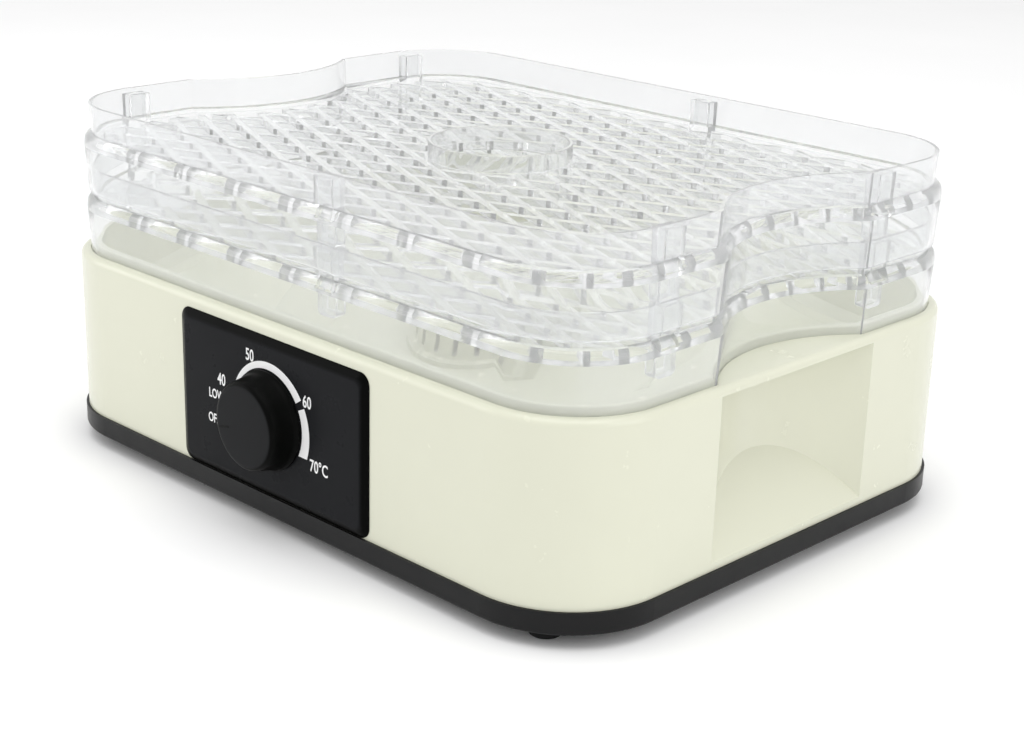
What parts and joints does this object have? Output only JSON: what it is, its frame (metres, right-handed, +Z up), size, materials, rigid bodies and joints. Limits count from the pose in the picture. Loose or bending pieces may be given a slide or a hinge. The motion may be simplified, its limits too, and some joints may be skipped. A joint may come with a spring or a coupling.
{
  "type": "food dehydrator",
  "caption": "Rectangular food dehydrator: cream base with front dial and fan heater, stacked clear lift-off mesh trays with side hand notches.",
  "frame": {"origin": "centre of the bounding box in X and Y, on the surface the feet stand on", "axes": "+X to the right seen from the front (the long side), +Y to the back, away from the control panel, +Z up"},
  "size_m": [0.3324, 0.2682, 0.1534],
  "materials": {
    "shell_cream": "glossy moulded cream plastic",
    "turret_cream": "glossy moulded cream plastic",
    "plate_black": "semi-matte black plastic",
    "rubber_black": "matte black rubber",
    "panel_black": "gloss black plastic",
    "knob_black": "satin black plastic",
    "pointer_dark": "matte dark line",
    "print_white": "white print",
    "tray_clear": "clear glossy plastic",
    "steel_zinc": "zinc-plated steel",
    "steel_core": "stacked steel laminations",
    "brass_nut": "turned brass",
    "coil_tape": "yellow insulating tape over the winding",
    "rotor_alu": "cast aluminium and steel",
    "fan_white": "white moulded plastic",
    "duct_alu": "aluminised sheet",
    "mica": "mica sheet",
    "heater_wire": "resistance wire",
    "stat_dark": "dark moulded phenolic",
    "block_white": "white moulded plastic",
    "wire_brown": "silicone sleeve",
    "gland_black": "black moulded gland"
  },
  "bodies": {
    "base": {"housing_wall": "shell_cream", "housing_side_right": "shell_cream", "housing_side_left": "shell_cream", "tub_floor": "shell_cream", "hand_grip_right": "shell_cream", "hand_grip_left": "shell_cream", "bottom_plate": "plate_black", "rubber_feet": "rubber_black", "housing_screws": "steel_zinc", "air_turret": "turret_cream", "control_panel": "panel_black", "panel_scale": "print_white", "thermostat_body": "stat_dark", "thermostat_plate": "steel_zinc", "thermostat_nut": "brass_nut", "motor_stator": "steel_core", "motor_coil": "coil_tape", "motor_bridge_upper": "steel_zinc", "motor_bridge_lower": "steel_zinc", "motor_bearings": "brass_nut", "motor_bolts": "steel_zinc", "heater_duct": "duct_alu", "heater_frame": "mica", "heater_coil": "heater_wire", "thermal_fuse": "rotor_alu", "terminal_block": "block_white", "inner_wires": "wire_brown", "cord_gland": "gland_black"},
    "knob": {"control_knob": "knob_black", "knob_pointer": "pointer_dark", "thermostat_shaft": "rotor_alu"},
    "fan": {"fan_impeller": "fan_white", "motor_shaft": "steel_zinc", "motor_rotor": "rotor_alu"},
    "tray_lower": {"tray_lower_wall": "tray_clear", "tray_lower_mesh": "tray_clear", "tray_lower_collar": "tray_clear"},
    "tray_upper": {"tray_upper_wall": "tray_clear", "tray_upper_mesh": "tray_clear", "tray_upper_collar": "tray_clear"}
  },
  "joints": [
    {"name": "knob_turn", "type": "hinge", "parent": "base", "child": "knob", "pos_m": [0, -0.12165, 0.049], "axis": [0, 1, 0], "range_deg": [0, 220]},
    {"name": "fan_spin", "type": "hinge", "parent": "base", "child": "fan", "pos_m": [0, 0.00645, 0.05], "axis": [0, 0, 1], "continuous": true},
    {"name": "tray_lower_lift", "type": "slide", "parent": "base", "child": "tray_lower", "axis": [0, 0, 1], "range_m": [0, 0.06]},
    {"name": "tray_upper_lift", "type": "slide", "parent": "tray_lower", "child": "tray_upper", "axis": [0, 0, 1], "range_m": [0, 0.06]}
  ]
}
